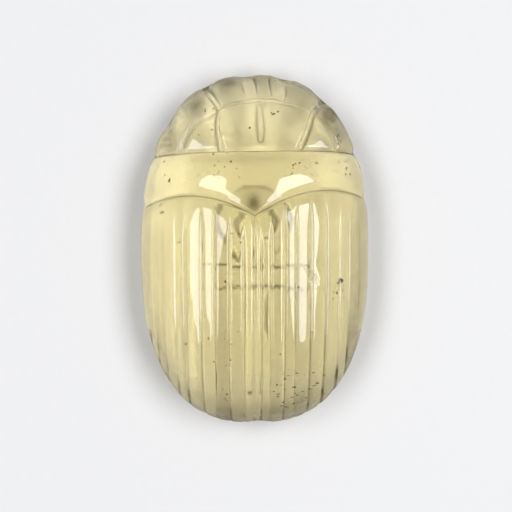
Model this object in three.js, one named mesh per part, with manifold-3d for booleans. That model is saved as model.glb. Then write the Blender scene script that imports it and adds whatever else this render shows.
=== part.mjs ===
// Scarab amulet carved from one piece of clear straw-yellow stone.
//
// The beetle lies on its flat base with its back up. +Y points to the head, +X to its right-hand
// side as seen from above, +Z up, and the origin is the middle of the underside. Millimetres.
//
// The body is one loft along Y: a domed back, a hollowed side and a plinth. Six legs are joined on
// in the side hollow, and every carved line is then cut with a V-shaped tool.

import * as THREE from "three";
import Module from "manifold-3d";

const wasm = await Module();
wasm.setup();

// Overall size
const LENGTH = 50;
const WIDTH = 32.6;
const HEIGHT = 14;

// Plan outline: a superellipse, a little squarer at the tail
const FRONT_SQUARENESS = 2.4;
const TAIL_SQUARENESS = 2.5;

// Plinth and side hollow
const PLINTH_HEIGHT = 2.1;
const PLINTH_BEVEL = 0.35;
const EDGE_HEIGHT = 5; // where the wing cases turn down into the side
const HEAD_EDGE_DROP = 1.2; // how much lower that edge is round the head
const HOLLOW_DEPTH = 1.2;
const UPPER_HOLLOW = 0.75; // share of that depth between the edge and the waist
const LOWER_HOLLOW = 0.6; // and on top of the plinth

// Lengths of the head and thorax, from the front; the wing cases take the rest
const HEAD_LENGTH = 11.5;
const THORAX_LENGTH = 5.85;
const NECK_SLANT = 0.015; // rise of the neck line towards the right, per unit of width
const JOINT_SLANT = 0.04; // the same for the joint between thorax and wing cases

// The thorax runs back into a point between the wing cases
const POINT_LENGTH = 2.7;
const POINT_REACH = 10; // half the width over which the point is drawn out
const SIDE_RETURN = 1.1; // how far its rear edge comes back again at the sides

// Heights of the forms against the plain dome
const THORAX_CROWN = 0.65;
const THORAX_STEP = 0.5; // the thorax edges lie this far under the dome
const WING_BEVEL_DEPTH = 0.45;
const WING_BEVEL_LENGTH = 1.2;
const NECK_STEP = 1.1; // the head starts this far under the dome
const PLATE_FALL = 2.2; // the head plate slopes down by this much to its edge
const PLATE_ROUNDNESS = 1.6; // power of that slope
const BROW_STEP = 0.4; // drop from the head plate to the rim round it
const BROW_SOFTNESS = 0.06; // share of the plate over which the drop is spread, each way
const BROW_LIMIT = 0.99; // the brow stays inside this share of the outline

// Head
const HEAD_SHIFT = 0.65; // the head is carved a little right of the middle
const PLATE_HALF_WIDTH = 10.6;
const PLATE_LENGTH = 7.3;
const FACE_SHIFT = 1.35; // and the lobes of its rim a little further
const LOBE_WIDTH = 5.5;
const LOBE_DEPTH = 0.5;
const LOBE_SHARPNESS = 6; // power that narrows the dips between the lobes
const SIDE_NOTCH_DEPTH = 0.35; // nick in the outline at the neck and at the joint
const SIDE_NOTCH_WIDTH = 1.6;
const NICK_FADE = 8; // power by which the nicks fade out inwards

// Carved lines on the back
const STRIPES_PER_WING = 9;
const STRIPE_SPACING = 1.72;
const STRIPE_WIDTH = 0.72;
const STRIPE_DEPTH = 0.26;
const STRIPE_MARGIN = 1.3; // bare border left behind the thorax
const STRIPE_DRIFT = 0.05; // share by which the stripes draw together at the tail
const SEAM_WIDTH = 1;
const SEAM_DEPTH = 0.45;
const JOINT_WIDTH = 0.9;
const JOINT_DEPTH = 0.45;
const CHEEK_WIDTH = 1.1;
const CHEEK_DEPTH = 0.5;
const CHEEK_AT_RIM = 8.4; // distance of each cheek groove from the middle of the face
const CHEEK_AT_BROW = 6.4;
const CHEEK_AT_NECK = 5.7;
const CHEEK_BEND = 0.78; // where it bends, as a share of the head plate's length
const CHEEK_FADE = 0.4; // share of its depth lost on the way to the neck
const BROW_SPAN = 0.44; // half of the brow line's turn, in half circles
const BROW_END_SHARE = 0.15; // share of depth at its ends
const BROW_RISE = 0.5; // and how much more it has at the front
const LEAF_WIDTH = 1.3;
const LEAF_DEPTH = 0.45;
const LEAF_LENGTH = 5.7;
const LEAF_BLUNTNESS = 0.7;
const TIP_SHARE = 0.1; // share of depth at the tips of short lines
const TOOTH_COUNT = 4;
const TOOTH_WIDTH = 0.42;
const TOOTH_DEPTH = 0.3;
const TOOTH_LENGTH = 2.1;
const TOOTH_SPACING = 2.05;
const TOOTH_MARGIN = 0.9;

// Carved lines on the underside
const BELLY_LINE_WIDTH = 0.7;
const BELLY_LINE_DEPTH = 0.45;
const ARCH_HALF_WIDTH = 2.4;
const ARCH_HEIGHT = 0.9;
const ARCH_Y = 7.3;
const FORELIMB = { topX: 3.85, bottomX: 1.7, bulge: 0.5, top: 5.6, bottom: -1.9 };
const MOUTHPART = { topX: 1.9, bottomX: 1.75, bulge: 0.4, top: 4.4, bottom: 1.5 };
const STROKE_FADE = 0.4; // share of its depth that a stroke loses towards its end
const BELT_HALF_LENGTH = 5.4;
const BELT_FADE = 0.5;
const BELTS = [
  { inner: -2.65, outer: -2 },
  { inner: -4.85, outer: -5.6 },
];
const BELLY_SEAM = { x: 1.25, top: -5.4, bottom: -12.1 };
const SEAM_LINE_END = 0.3; // share of depth at its lower end
const TAIL_MARKS = { x: -0.95, halfGap: 0.65, top: -15.8, bottom: -18.5 };
const TAIL_MARK_START = 0.4; // share of depth at their upper ends
const TAIL_MARK_END = 0.8; // and at their lower ends

// Legs, as tapered rods half sunk in the side hollow: places along Y and share of its height
const LEG_RADIUS = 0.85;
const FOOT_RADIUS = 0.45;
const LEGS = [
  [[6.5, 0.62], [12, 0.42], [20.5, 0.3]],
  [[4.8, 0.7], [-1.5, 0.62], [-7, 0.2]],
  [[-4.5, 0.75], [-12, 0.62], [-20, 0.25]],
];

// Fineness
const TAIL_ROWS = 14;
const THORAX_ROWS = 5;
const HEAD_ROWS = 9;
const BACK_COLUMNS = 18;
const LEG_STEPS = 8;
const LEG_SIDES = 8;
const BROW_STEPS = 16;
const CURVE_STEPS = 8;
const STROKE_STEPS = 6;
const SHORT_STEPS = 3;
const CLOSING_ROUNDS = 30; // rounds in which a plan point closes in on its place
const MERGE_DISTANCE = 0.002;

const HALF_LENGTH = LENGTH / 2;
const HALF_WIDTH = WIDTH / 2;
const NECK_Y = HALF_LENGTH - HEAD_LENGTH;
const JOINT_Y = NECK_Y - THORAX_LENGTH;
const TOOL_LIFT = 0.6; // how far a cutting tool stands out of the surface
const SIDES = [-1, 1];

const clamp = (value) => Math.min(1, Math.max(0, value));

function smooth(from, to, value) {
  const t = clamp((value - from) / (to - from));
  return t * t * (3 - 2 * t);
}

function pathBetween(steps, pointAt) {
  return Array.from({ length: steps + 1 }, (_, i) => pointAt(i / steps));
}

// Plan forms

const squareness = (y) => (y > 0 ? FRONT_SQUARENESS : TAIL_SQUARENESS);

// The other coordinate of the outline, as a share of its half size.
const outlineShare = (share, n) => (1 - Math.min(1, Math.abs(share)) ** n) ** (1 / n);

// 0 at the middle of the outline and 1 on it.
function reach(x, y) {
  const n = squareness(y);
  return ((Math.abs(x) / HALF_WIDTH) ** n + (Math.abs(y) / HALF_LENGTH) ** n) ** (1 / n);
}

const halfWidthAt = (y) => HALF_WIDTH * outlineShare(y / HALF_LENGTH, squareness(y));
const frontAt = (x) => HALF_LENGTH * outlineShare(x / HALF_WIDTH, FRONT_SQUARENESS);
const tailAt = (x) => -HALF_LENGTH * outlineShare(x / HALF_WIDTH, TAIL_SQUARENESS);

const neckLine = (x) => NECK_Y + NECK_SLANT * x;

// Rear edge of the thorax: nearly straight, with a point in the middle.
function jointLine(x) {
  const point = POINT_LENGTH * clamp(1 - Math.abs(x) / POINT_REACH) ** 2;
  const side = clamp((Math.abs(x) - POINT_REACH) / (HALF_WIDTH - POINT_REACH)) ** 2;
  return JOINT_Y - point - SIDE_RETURN * side + JOINT_SLANT * x;
}

// Nicks at the neck and joint and hollows between the rim's lobes, as a share of the outline.
function nick(x, y) {
  const bump = (line) => Math.exp(-(((y - line) / (SIDE_NOTCH_WIDTH / 2)) ** 2));
  const sides = SIDE_NOTCH_DEPTH * (bump(neckLine(x)) + bump(jointLine(x)));
  const wave = Math.abs(Math.sin((Math.PI * (x - FACE_SHIFT)) / LOBE_WIDTH));
  const lobes = LOBE_DEPTH * wave ** LOBE_SHARPNESS;
  return (sides + lobes * smooth(NECK_Y, NECK_Y + HEAD_LENGTH / 2, y)) / Math.hypot(x, y);
}

// Height of the back

function edgeHeight(y) {
  return EDGE_HEIGHT - HEAD_EDGE_DROP * smooth(JOINT_Y, NECK_Y + PLATE_LENGTH, y);
}

const rounding = (share) => Math.sqrt(1 - clamp(share) ** 2);

function dome(x, y) {
  const edge = edgeHeight(y);
  return edge + (HEIGHT - edge) * rounding(reach(x, y));
}

// The head: a sloping plate, and round it a rim that falls to the edge.
function headHeight(x, y) {
  const out = Math.hypot((x - HEAD_SHIFT) / PLATE_HALF_WIDTH, (y - neckLine(x)) / PLATE_LENGTH);
  const edge = edgeHeight(y);
  const top = dome(0, NECK_Y) - NECK_STEP;
  const plate = top - PLATE_FALL * Math.min(1, out) ** PLATE_ROUNDNESS;
  const here = reach(x, y);
  const atBrow = Math.min(here / Math.max(out, 1), BROW_LIMIT);
  const rim = edge + (top - PLATE_FALL - BROW_STEP - edge) * rounding((here - atBrow) / (1 - atBrow));
  const blend = smooth(1 - BROW_SOFTNESS, 1 + BROW_SOFTNESS, out);
  return Math.min(dome(x, y), plate * (1 - blend) + rim * blend);
}

function backHeight(x, y) {
  const neck = neckLine(x);
  const joint = jointLine(x);
  if (y > neck) return headHeight(x, y);
  const fade = rounding(reach(x, y)); // the forms fade out at the outline
  if (y < joint) {
    const bevel = WING_BEVEL_DEPTH * Math.exp(-(((joint - y) / WING_BEVEL_LENGTH) ** 2));
    return dome(x, y) - fade * bevel;
  }
  const across = (2 * (y - joint)) / (neck - joint) - 1;
  return dome(x, y) + fade * (THORAX_CROWN * (1 - across ** 2) - THORAX_STEP);
}

// Outward direction of the plain dome, which also holds at its steep edge.
function domeNormal(x, y) {
  const n = squareness(y);
  const out = Math.max(MERGE_DISTANCE, reach(x, y));
  const slope = (value, half) => (Math.sign(value) * (Math.abs(value) / half) ** (n - 1)) / half;
  const steepness = out ** (2 - n);
  const up = rounding(out) / (HEIGHT - edgeHeight(y));
  return new THREE.Vector3(
    slope(x, HALF_WIDTH) * steepness,
    slope(y, HALF_LENGTH) * steepness,
    up,
  ).normalize();
}

// Closed meshes, made of rings that share their vertices

class RingMesh {
  constructor() {
    this.points = [];
    this.faces = [];
    this.known = new Map();
  }

  point(x, y, z) {
    const key = [x, y, z].map((value) => Math.round(value / MERGE_DISTANCE)).join();
    if (!this.known.has(key)) {
      this.known.set(key, this.points.length / 3);
      this.points.push(x, y, z);
    }
    return this.known.get(key);
  }

  face(a, b, c) {
    if (a !== b && b !== c && a !== c) this.faces.push(a, b, c);
  }

  // The rings turn clockwise, seen along the way from the first to the last.
  skin(rings) {
    for (let k = 0; k + 1 < rings.length; k++) {
      rings[k].forEach((a, i) => {
        const j = (i + 1) % rings[k].length;
        this.face(a, rings[k][j], rings[k + 1][i]);
        this.face(rings[k + 1][i], rings[k][j], rings[k + 1][j]);
      });
    }
  }

  // Caps the open ends of a skin with fans.
  cap(first, last) {
    for (let i = 1; i + 1 < first.length; i++) {
      this.face(first[0], first[i + 1], first[i]);
      this.face(last[0], last[i], last[i + 1]);
    }
  }

  solid() {
    const vertProperties = new Float32Array(this.points);
    const triVerts = new Uint32Array(this.faces);
    return new wasm.Manifold(new wasm.Mesh({ numProp: 3, vertProperties, triVerts }));
  }
}

// The body

// Rows of the loft run from 0 at the tail to 1 at the joint, 2 at the neck and 3 at the front.
function rowY(row, x) {
  const joint = jointLine(x);
  const neck = neckLine(x);
  const quarter = Math.PI / 2;
  if (row <= 1) return -HALF_LENGTH + (joint + HALF_LENGTH) * (1 - Math.cos(row * quarter));
  if (row <= 2) return joint + (neck - joint) * (row - 1);
  return neck + (HALF_LENGTH - neck) * Math.sin((row - 2) * quarter);
}

// The row on which the stripes start.
const MARGIN_ROW = (2 / Math.PI) * Math.acos(STRIPE_MARGIN / (JOINT_Y + HALF_LENGTH));

const WING_ROWS = [...pathBetween(TAIL_ROWS, (t) => t), MARGIN_ROW].sort((a, b) => a - b);

// The plan point of a row at a share of its half width, found by closing in on it.
function planPoint(row, share) {
  let x = share * HALF_WIDTH;
  for (let i = 0; i < CLOSING_ROUNDS; i++) x = (x + share * halfWidthAt(rowY(row, x))) / 2;
  return [x, rowY(row, x)];
}

// Levels of the side, from the edge of the back down to the underside: how far in, and how high.
function sideLevels(y) {
  const edge = edgeHeight(y);
  const waist = (edge + PLINTH_HEIGHT) / 2;
  return [
    [0, edge],
    [HOLLOW_DEPTH * UPPER_HOLLOW, (edge + waist) / 2],
    [HOLLOW_DEPTH, waist],
    [HOLLOW_DEPTH * LOWER_HOLLOW, PLINTH_HEIGHT],
    [PLINTH_BEVEL / 2, PLINTH_HEIGHT],
    [0, PLINTH_HEIGHT - PLINTH_BEVEL],
    [0, PLINTH_BEVEL],
    [PLINTH_BEVEL, 0],
  ];
}

function bodySolid() {
  const mesh = new RingMesh();
  const rows = [
    ...WING_ROWS,
    ...pathBetween(THORAX_ROWS, (t) => 1 + t).slice(1),
    ...pathBetween(HEAD_ROWS, (t) => 2 + t).slice(1),
  ];
  const side = (row, sign) => {
    const [x, y] = planPoint(row, sign);
    return sideLevels(y).map(([inset, z], level) => {
      const shrink = 1 - inset / HALF_WIDTH - (level === 0 ? nick(x, y) : 0);
      return mesh.point(x * shrink, y * shrink, z);
    });
  };
  const back = (row) =>
    pathBetween(BACK_COLUMNS, (t) => {
      const [x, y] = planPoint(row, Math.sin(Math.PI * (t - 0.5)));
      const shrink = 1 - nick(x, y) * reach(x, y) ** NICK_FADE;
      return mesh.point(x * shrink, y * shrink, backHeight(x, y));
    });
  mesh.skin(
    rows.map((row) => [
      ...back(row).slice(1, -1),
      ...side(row, 1),
      ...side(row, -1).reverse(),
    ]),
  );
  return mesh.solid();
}

// The legs

function legSolid(side, stops) {
  const inset = 1 - HOLLOW_DEPTH / HALF_WIDTH;
  const corners = stops.map(([y, share]) => {
    const z = PLINTH_HEIGHT + (edgeHeight(y) - PLINTH_HEIGHT) * share;
    return new THREE.Vector3(side * halfWidthAt(y) * inset, y * inset, z);
  });
  const route = new THREE.CatmullRomCurve3(corners, false, "centripetal");
  const mesh = new RingMesh();
  const up = new THREE.Vector3(0, 0, 1);
  const rings = pathBetween(LEG_STEPS, (t) => {
    const middle = route.getPointAt(t);
    const along = route.getTangentAt(t);
    const across = along.clone().cross(up).normalize();
    const over = across.clone().cross(along);
    const radius = LEG_RADIUS + (FOOT_RADIUS - LEG_RADIUS) * t;
    return pathBetween(LEG_SIDES, (turn) => 2 * Math.PI * turn)
      .slice(1)
      .map((angle) => {
        const p = middle.clone().addScaledVector(over, radius * Math.cos(angle));
        p.addScaledVector(across, radius * Math.sin(angle));
        return mesh.point(p.x, p.y, p.z);
      });
  });
  mesh.skin(rings);
  mesh.cap(rings[0], rings[LEG_STEPS]);
  return mesh.solid();
}

// The carving

// A V-shaped groove under stations that give a place, an outward direction and a share of depth.
function groove(stations, width, depth) {
  const mesh = new RingMesh();
  const rings = stations.map(({ at, normal, share }, i) => {
    const before = stations[Math.max(0, i - 1)].at;
    const after = stations[Math.min(stations.length - 1, i + 1)].at;
    const across = after.clone().sub(before).cross(normal).normalize();
    const spread = ((width / 2) * (TOOL_LIFT + depth * share)) / depth;
    const tip = at.clone().addScaledVector(normal, -depth * share);
    const top = at.clone().addScaledVector(normal, TOOL_LIFT);
    const left = top.clone().addScaledVector(across, -spread);
    const right = top.clone().addScaledVector(across, spread);
    return [tip, left, right].map((p) => mesh.point(p.x, p.y, p.z));
  });
  mesh.skin(rings);
  mesh.cap(rings[0], rings[rings.length - 1]);
  return mesh.solid();
}

// Paths are lists of plan points with their share of depth.
function backGroove(path, width, depth) {
  const stations = path.map(([x, y, share]) => ({
    at: new THREE.Vector3(x, y, backHeight(x, y)),
    normal: domeNormal(x, y),
    share,
  }));
  return groove(stations, width, depth);
}

function bellyGroove(path) {
  const normal = new THREE.Vector3(0, 0, -1);
  const stations = path.map(([x, y, share]) => ({ at: new THREE.Vector3(x, y, 0), normal, share }));
  return groove(stations, BELLY_LINE_WIDTH, BELLY_LINE_DEPTH);
}

// Stations on the loft's own rows, from a first row to the tail or to the outline before it.
function wingPath(start, firstRow, firstShare) {
  const path = [];
  for (const row of [...WING_ROWS].reverse().filter((one) => one <= firstRow)) {
    const x = start * (1 - STRIPE_DRIFT * (1 - row) ** 2);
    const y = rowY(row, x);
    path.push([x, Math.max(y, tailAt(x)), row === firstRow ? firstShare : 1]);
    if (y <= tailAt(x)) break;
  }
  return path;
}

function stripes() {
  const paths = [];
  for (const side of SIDES) {
    for (let number = 1; number <= STRIPES_PER_WING; number++) {
      paths.push(wingPath(side * number * STRIPE_SPACING, MARGIN_ROW, 0));
    }
  }
  return paths.map((path) => backGroove(path, STRIPE_WIDTH, STRIPE_DEPTH));
}

const seam = () => backGroove(wingPath(0, 1, 1), SEAM_WIDTH, SEAM_DEPTH);

// The line between two parts of the beetle, from one side to the other.
function crossGroove(row) {
  const path = pathBetween(BACK_COLUMNS, (t) => {
    const [x, y] = planPoint(row, Math.sin(Math.PI * (t - 0.5)));
    return [x, y, 1];
  });
  return backGroove(path, JOINT_WIDTH, JOINT_DEPTH);
}

// A groove from the rim, over the brow and down the head plate to the neck.
function cheekGroove(side) {
  const browY = NECK_Y + PLATE_LENGTH * CHEEK_BEND;
  const neckY = NECK_Y + JOINT_WIDTH / 2;
  const rimY = frontAt(FACE_SHIFT + side * CHEEK_AT_RIM);
  const between = (fromX, toX, fromY, toY, fall) =>
    pathBetween(SHORT_STEPS, (t) => [
      FACE_SHIFT + side * (fromX + (toX - fromX) * t),
      fromY + (toY - fromY) * t,
      1 - fall * t,
    ]);
  const upper = between(CHEEK_AT_RIM, CHEEK_AT_BROW, rimY, browY, 0);
  const lower = between(CHEEK_AT_BROW, CHEEK_AT_NECK, browY, neckY, CHEEK_FADE);
  return backGroove([...upper, ...lower.slice(1)], CHEEK_WIDTH, CHEEK_DEPTH);
}

// The line round the head plate.
function browGroove() {
  const path = pathBetween(BROW_STEPS, (t) => {
    const turn = Math.PI * (0.5 + BROW_SPAN * (1 - 2 * t));
    const x = HEAD_SHIFT + PLATE_HALF_WIDTH * Math.cos(turn);
    const share = BROW_END_SHARE + BROW_RISE * Math.sin(turn);
    return [x, NECK_Y + PLATE_LENGTH * Math.sin(turn), share];
  });
  return backGroove(path, JOINT_WIDTH, JOINT_DEPTH);
}

// The short lines on the front lobe.
function teeth() {
  return pathBetween(TOOTH_COUNT - 1, (t) => {
    const x = FACE_SHIFT + (t - 0.5) * (TOOTH_COUNT - 1) * TOOTH_SPACING;
    const top = frontAt(x) - TOOTH_MARGIN;
    const path = pathBetween(SHORT_STEPS, (s) => [
      x,
      top - TOOTH_LENGTH * s,
      s === 0 || s === 1 ? TIP_SHARE : 1,
    ]);
    return backGroove(path, TOOTH_WIDTH, TOOTH_DEPTH);
  });
}

// The leaf-shaped hollow in the middle of the head plate.
function leafGroove() {
  const top = NECK_Y + PLATE_LENGTH - JOINT_WIDTH;
  const path = pathBetween(STROKE_STEPS, (t) => [
    HEAD_SHIFT,
    top - LEAF_LENGTH * t,
    TIP_SHARE + (1 - TIP_SHARE) * Math.sin(Math.PI * t) ** LEAF_BLUNTNESS,
  ]);
  return backGroove(path, LEAF_WIDTH, LEAF_DEPTH);
}

// A bent stroke on one side of the belly.
function bellyStroke(side, { topX, bottomX, bulge, top, bottom }) {
  return pathBetween(STROKE_STEPS, (t) => [
    side * (topX + (bottomX - topX) * t ** 2 + bulge * Math.sin(Math.PI * t)),
    top + (bottom - top) * t,
    1 - STROKE_FADE * t,
  ]);
}

// A straight line from a top to a bottom, with its share of depth at each end.
function bellyLine(x, { top, bottom }, topShare, bottomShare) {
  return pathBetween(SHORT_STEPS, (t) => [
    x,
    top + (bottom - top) * t,
    topShare + (bottomShare - topShare) * t,
  ]);
}

function bellyGrooves() {
  const arch = pathBetween(CURVE_STEPS, (t) => [
    -ARCH_HALF_WIDTH * Math.cos(Math.PI * t),
    ARCH_Y + ARCH_HEIGHT * Math.sin(Math.PI * t),
    1,
  ]);
  const belts = BELTS.map(({ inner, outer }) =>
    pathBetween(CURVE_STEPS, (t) => {
      const across = 2 * t - 1;
      const y = inner + (outer - inner) * across ** 2;
      return [BELT_HALF_LENGTH * across, y, 1 - BELT_FADE * across ** 2];
    }),
  );
  const seamLine = bellyLine(BELLY_SEAM.x, BELLY_SEAM, 1, SEAM_LINE_END);
  const tailMarks = SIDES.map((side) => {
    const x = TAIL_MARKS.x + side * TAIL_MARKS.halfGap;
    return bellyLine(x, TAIL_MARKS, TAIL_MARK_START, TAIL_MARK_END);
  });
  const strokes = SIDES.flatMap((side) => [
    bellyStroke(side, FORELIMB),
    bellyStroke(side, MOUTHPART),
  ]);
  return [arch, ...belts, seamLine, ...tailMarks, ...strokes].map(bellyGroove);
}

// Assembly

function carvedScarab() {
  const legs = SIDES.flatMap((side) => LEGS.map((stops) => legSolid(side, stops)));
  const grooves = [
    ...stripes(),
    seam(),
    crossGroove(1),
    crossGroove(2),
    browGroove(),
    ...SIDES.map(cheekGroove),
    leafGroove(),
    ...teeth(),
    ...bellyGrooves(),
  ];
  const body = legs.reduce((solid, leg) => solid.add(leg), bodySolid());
  return grooves.reduce((solid, cut) => solid.subtract(cut), body);
}

function geometryOf(solid) {
  const mesh = solid.getMesh();
  const geometry = new THREE.BufferGeometry();
  geometry.setAttribute("position", new THREE.BufferAttribute(mesh.vertProperties, 3));
  geometry.setIndex(new THREE.BufferAttribute(mesh.triVerts, 1));
  geometry.computeVertexNormals();
  return geometry;
}

const stone = new THREE.MeshStandardMaterial({
  color: 0xdccf98,
  roughness: 0.08,
  metalness: 0,
  transparent: true,
  opacity: 0.6,
});

const scarab = new THREE.Mesh(geometryOf(carvedScarab()), stone);
scarab.name = "scarab";

const amulet = new THREE.Group();
amulet.add(scarab);

export default amulet;
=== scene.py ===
"""Scarab amulet carved from clear straw-yellow stone, on pale paper, seen from above.

The stone is one closed mesh, lofted across the beetle so that its long stripes run along the
mesh lines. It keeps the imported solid's form and outline, and adds the fine carving.
"""

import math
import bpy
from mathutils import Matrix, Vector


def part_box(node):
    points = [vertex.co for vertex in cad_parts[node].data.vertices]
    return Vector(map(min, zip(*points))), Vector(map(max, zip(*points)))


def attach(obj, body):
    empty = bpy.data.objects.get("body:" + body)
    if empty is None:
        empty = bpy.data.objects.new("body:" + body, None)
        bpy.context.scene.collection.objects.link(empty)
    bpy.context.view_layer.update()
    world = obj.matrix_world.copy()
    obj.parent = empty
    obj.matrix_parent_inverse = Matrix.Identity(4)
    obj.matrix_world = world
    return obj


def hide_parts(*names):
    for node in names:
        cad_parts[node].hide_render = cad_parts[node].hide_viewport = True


bl_info = {
    "name": "Scarab Amulet",
    "version": (1, 0, 0),
    "blender": (4, 5, 0),
    "location": "3D View > Sidebar > Scarab",
    "description": "Carved clear stone scarab, its flaws, and the stage it is shown on",
    "category": "Add Mesh",
}

import bpy
import numpy as np
from bpy.props import FloatProperty, FloatVectorProperty, IntProperty, PointerProperty
from bpy.types import Operator, Panel, PropertyGroup
from mathutils import Euler, Vector

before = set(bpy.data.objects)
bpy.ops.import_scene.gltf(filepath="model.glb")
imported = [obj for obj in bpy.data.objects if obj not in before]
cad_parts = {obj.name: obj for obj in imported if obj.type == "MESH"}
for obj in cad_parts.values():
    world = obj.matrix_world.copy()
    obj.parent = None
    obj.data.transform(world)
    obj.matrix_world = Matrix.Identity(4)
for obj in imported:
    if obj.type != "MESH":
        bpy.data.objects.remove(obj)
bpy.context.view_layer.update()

MM = 0.001
NODE = "scarab"
BODY = "root"

LOW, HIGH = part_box(NODE)
CLEARANCE = 0.01 * MM  # the fine surface stays this far inside the solid's box
HALF_WIDTH = min(-LOW.x, HIGH.x) - CLEARANCE
HALF_LENGTH = min(-LOW.y, HIGH.y) - CLEARANCE
TOP = HIGH.z - CLEARANCE

# The photograph's frame: the size of one of its pixels, and the pixel over the origin
PIXEL = 0.1435 * MM
ORIGIN_PIXEL = (254.75, 248.25)
FRAME_PIXELS = 512

# Rows of the mesh: each pair is an end and how many rows lead to it. The back runs from 0 at the
# tail to 1 at the joint, 2 at the neck and 3 at the front, and the underside from 0 to 1.
BACK_ROWS = ((1, 85), (2, 38), (3, 106))
BELLY_ROWS = ((0.11, 11), (0.69, 91), (1, 15))
WALL_ROWS = 12
OUTER_CUTS = 13  # cuts beyond the last stripe on each side
SHORTEST_STEP = 0.07 * MM
LONGEST_STEP = 0.3 * MM
WELD = 0.002 * MM  # points that round to the same multiple of this are one vertex

# Middle of each stripe at mid length, from the seam: first the left wing case, then the right
STRIPES = MM * np.array((
    -15.0, -13.9, -12.7, -11.1, -9.6, -7.4, -5.6, -3.5, -1.5,
    0.95, 2.3, 4.2, 5.8, 7.8, 9.9, 11.9, 13.3, 14.8,
))

# Lines on the head: stations of pixel x, pixel y and strength; width and depth in millimetres;
# and the dirt in them and on their walls
HEAD_LINES = {
    "left cheek": (
        ((204, 85, 1), (212, 97.5, 1), (218, 107, 1), (220.5, 114, 0.8), (218.5, 121, 0.6),
         (218, 130.5, 0.6), (219.5, 140, 0.8), (221.5, 152, 1)), 1.3, 0.52, 0, 0.62),
    "right cheek": (
        ((324, 99, 1), (317, 110, 1), (312.5, 115.5, 0.9), (310.5, 121, 0.9), (308, 130.5, 0.9),
         (303.5, 141.5, 1), (300, 149.5, 0.9)), 1.3, 0.52, 0, 0.62),
    "leaf": (
        ((258.8, 105, 0), (259.5, 113, 0.5), (260.3, 125, 0.9), (260.8, 135, 1),
         (260.6, 143, 0.6)), 1.75, 0.5, 0.05, 0.5),
    "left furrow": (
        ((192, 125, 0.3), (187, 133, 0.9), (183.6, 141.5, 1), (182, 152, 0.9)), 0.9, 0.34, 0.05, 0.55),
    "left plate edge": (
        ((215.5, 117, 0.5), (205, 122, 0.8), (196.5, 128, 0.9), (190, 136, 0.9),
         (185.5, 148, 0.6)), 1.7, 0.24, 0.34, 0),
    "right plate edge": (
        ((313, 120, 0.5), (320, 125, 1), (327, 133, 1), (332.5, 143, 0.9),
         (334, 149, 0.6)), 1.7, 0.22, 0.35, 0),
    "first tooth": (((241.4, 83.5, 0.4), (243, 88, 0.9), (245.8, 98, 0.2)), 0.6, 0.3, 0.6, 0),
    "second tooth": (((253.6, 79, 0.7), (255.8, 84, 1), (256.8, 96, 0.3)), 0.65, 0.34, 0.9, 0),
    "third tooth": (((269, 81, 0.9), (270, 89, 0.8), (271.2, 98, 0.4)), 0.65, 0.34, 0.9, 0),
    "fourth tooth": (((285.6, 87, 0.7), (286, 93, 1), (284, 103, 0.3)), 0.6, 0.3, 0.7, 0),
}

# Lines under the base as they show through the back: width in millimetres, then stations of
# pixel x, pixel y and strength
BELLY_LINES = (
    (2.2, ((232, 195, 0.1), (237, 189, 0.18), (245, 185, 0.22), (255, 184, 0.22),
           (265, 185.5, 0.22), (273, 189, 0.18), (278, 195, 0.1))),
    (1.0, ((219, 205, 0.6), (216, 213, 0.8), (217, 223, 1), (223, 238, 1), (231, 252, 0.9),
           (240, 264, 0.7))),
    (0.9, ((240, 208, 0.8), (235.5, 215, 1), (235, 224, 1), (238, 234, 0.8), (244, 244, 0.4))),
    (0.9, ((268, 208, 0.6), (276, 213, 1), (278, 221, 1), (275, 230, 0.7), (266, 238, 0.3))),
    (0.9, ((288, 208, 0.4), (291.5, 217, 0.8), (290, 230, 0.7), (284, 245, 0.4), (275, 257, 0.2))),
    (0.75, ((204, 264, 0.3), (222, 265, 0.5), (236, 268, 0.9), (247, 269, 0.9))),
    (0.75, ((271, 269, 0.7), (286, 266.5, 0.9), (300, 265, 0.5), (310, 265, 0.3))),
    (0.75, ((203, 292, 0.3), (222, 289, 0.7), (240, 286, 0.8), (252, 287.5, 0.4), (275, 286, 0.8),
            (290, 289, 0.9), (307, 292, 0.3))),
    (0.85, ((263.5, 286, 0.6), (266, 300, 1), (267.5, 315, 0.9), (267, 330, 0.7), (265, 345, 0.3))),
    (0.75, ((241, 368, 0.4), (241, 380, 0.6), (241, 391, 0.8), (251, 391, 0.7))),
)

# Enlargement by the back of what is under the base, across and along
ENLARGED = (1.17, 1.07)

# Darker patches under the base: pixel of the middle, half sizes in millimetres, shares of those
# between which they fade, and strength
BELLY_PATCHES = (
    ((254, 200), (2.5, 2.15), (0.85, 1.1), 0.17),
    ((254, 203), (1.2, 1.4), (0, 1.2), 0.5),
)
BELLY_MATNESS = 0.3

# Short nicks across the rim: pixel of the middle and turn outward, in degrees
RIM_NICKS = (
    ((199, 97), 128), ((191, 104), 134), ((184.5, 110), 140), ((179.5, 117), 145),
    ((175.5, 124), 150), ((171.8, 131), 157), ((168.5, 138), 163), ((166, 145), 170),
    ((322, 109), 48), ((329.5, 117), 42), ((335, 125), 36), ((340, 133), 29), ((344.5, 141), 22),
)

# A small worn chip on the right wing case: pixel x, pixel y and strength
WING_CHIP = ((303, 265, 0.2), (307, 271, 0.7), (311, 276, 1), (315.5, 281, 0.3))

# Darker places: painted shade on the head's rim and plate, across the thorax's front and in bands on the
# wing cases, with a dark spot at the thorax's point and a dull chip mark on the right wing case: pixel
# of the middle, radii in pixels, strength
SHADE_AND_MARK_SPOTS = (
    ((227, 84), (12, 6), 0.75), ((197, 106), (9, 11), 0.6), ((329, 115), (12, 10), 1.0),
    ((338, 134), (8, 14), 0.5), ((172, 137), (9, 18), 0.75), ((318, 106), (5, 4), 0.4),
    ((298, 92), (14, 7), 0.16), ((288, 117), (18, 7), 0.1),
    ((253.5, 204), (6, 8), 0.95), ((252, 199), (13, 8), 0.05), ((310, 275), (3, 6), 0.5),
    ((252, 163), (50, 4.5), 0.3), ((232, 375), (22, 30), 0.05), ((300, 330), (10, 60), 0.06),
)

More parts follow.
